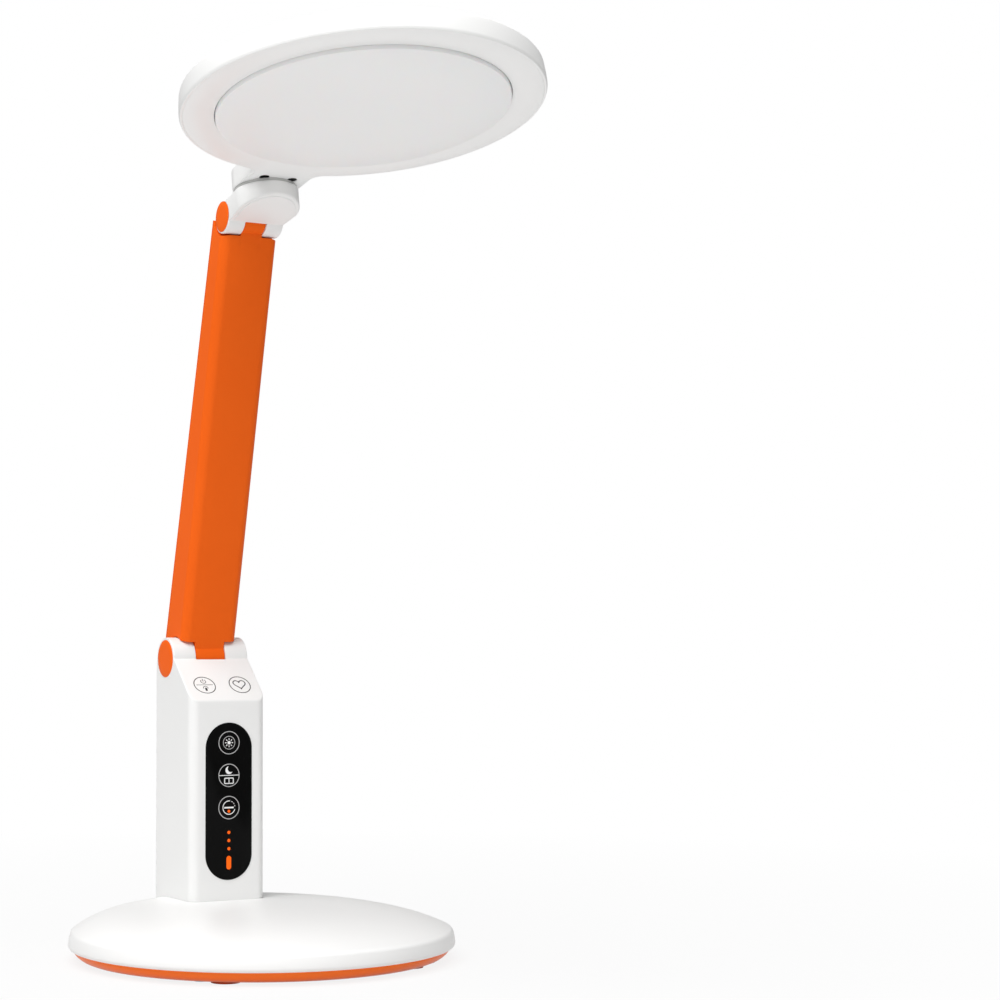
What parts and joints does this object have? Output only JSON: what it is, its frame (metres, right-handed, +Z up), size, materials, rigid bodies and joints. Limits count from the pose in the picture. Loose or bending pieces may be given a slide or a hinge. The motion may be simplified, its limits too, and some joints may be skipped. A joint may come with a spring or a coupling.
{
  "type": "desk lamp",
  "caption": "Folding desk lamp: round weighted base, box column with a touch control panel, hinged arm and tilting neck carrying a flat round head that swivels.",
  "frame": {"origin": "middle of the round base where the centre rubber foot meets the desk", "axes": "+Z up, -Y is the front, where the controls face and the head reaches, +X to the right seen from the front"},
  "size_m": [0.18, 0.2707, 0.403],
  "materials": {
    "white_plastic": "fine satin",
    "orange_plastic": "fine satin",
    "black_panel": "polished",
    "indicator_lens": "translucent, lit",
    "dark_rubber": "matt",
    "steel": "zinc plated",
    "weight_steel": "plain",
    "black_steel": "black oxide",
    "socket_steel": "bright",
    "circuit_board": "solder mask",
    "contact_brass": "plain",
    "cell_wrap": "shrink film",
    "black_plastic": "satin",
    "cable_sheath": "satin",
    "diffuser_plastic": "frosted",
    "clear_acrylic": "polished",
    "white_film": "satin",
    "led_lens": "phosphor",
    "plate_aluminium": "plain"
  },
  "bodies": {
    "base": {"rubber_feet": "dark_rubber", "base_tray": "orange_plastic", "base_screws": "steel", "counterweight": "weight_steel", "base_cover": "white_plastic", "column_screws": "steel", "column_shell": "white_plastic", "column_rear_cover": "white_plastic", "rear_cover_screws": "steel", "control_panel": "black_panel", "indicator_window": "indicator_lens", "control_board": "circuit_board", "touch_pads": "contact_brass", "slope_board": "circuit_board", "battery_cell": "cell_wrap", "battery_holder": "black_plastic", "charge_board": "circuit_board", "charge_socket": "socket_steel", "lower_hinge_bolt": "steel", "lower_hinge_nut": "steel", "lower_hinge_washers": "steel", "lower_hinge_caps": "orange_plastic"},
    "arm": {"arm_shell": "orange_plastic", "arm_back_cover": "orange_plastic", "arm_screws": "steel", "arm_cable": "cable_sheath"},
    "neck": {"neck_body": "white_plastic", "neck_cover": "white_plastic", "upper_hinge_bolt": "steel", "upper_hinge_nut": "steel", "upper_hinge_washers": "steel", "upper_hinge_caps": "orange_plastic", "swivel_tube": "steel", "swivel_ring": "black_plastic", "swivel_washer": "steel", "swivel_nut": "steel"},
    "head": {"head_shell": "white_plastic", "head_bezel": "white_plastic", "diffuser": "diffuser_plastic", "light_guide": "clear_acrylic", "reflector_sheet": "white_film", "led_strip": "circuit_board", "leds": "led_lens", "heat_plate": "plate_aluminium", "plate_screws": "steel", "ear_screws": "black_steel"}
  },
  "joints": [
    {"name": "arm_hinge", "type": "hinge", "parent": "base", "child": "arm", "pos_m": [0, 0.069, 0.1388], "axis": [1, 0, 0], "range_deg": [-30, 36]},
    {"name": "neck_hinge", "type": "hinge", "parent": "arm", "child": "neck", "pos_m": [0, 0.01466, 0.35043], "axis": [1, 0, 0], "range_deg": [-45, 48]},
    {"name": "head_swivel", "type": "hinge", "parent": "neck", "child": "head", "pos_m": [0, -0.00269, 0.36202], "axis": [0, 0.1736, 0.9848], "range_deg": [-90, 90]}
  ]
}
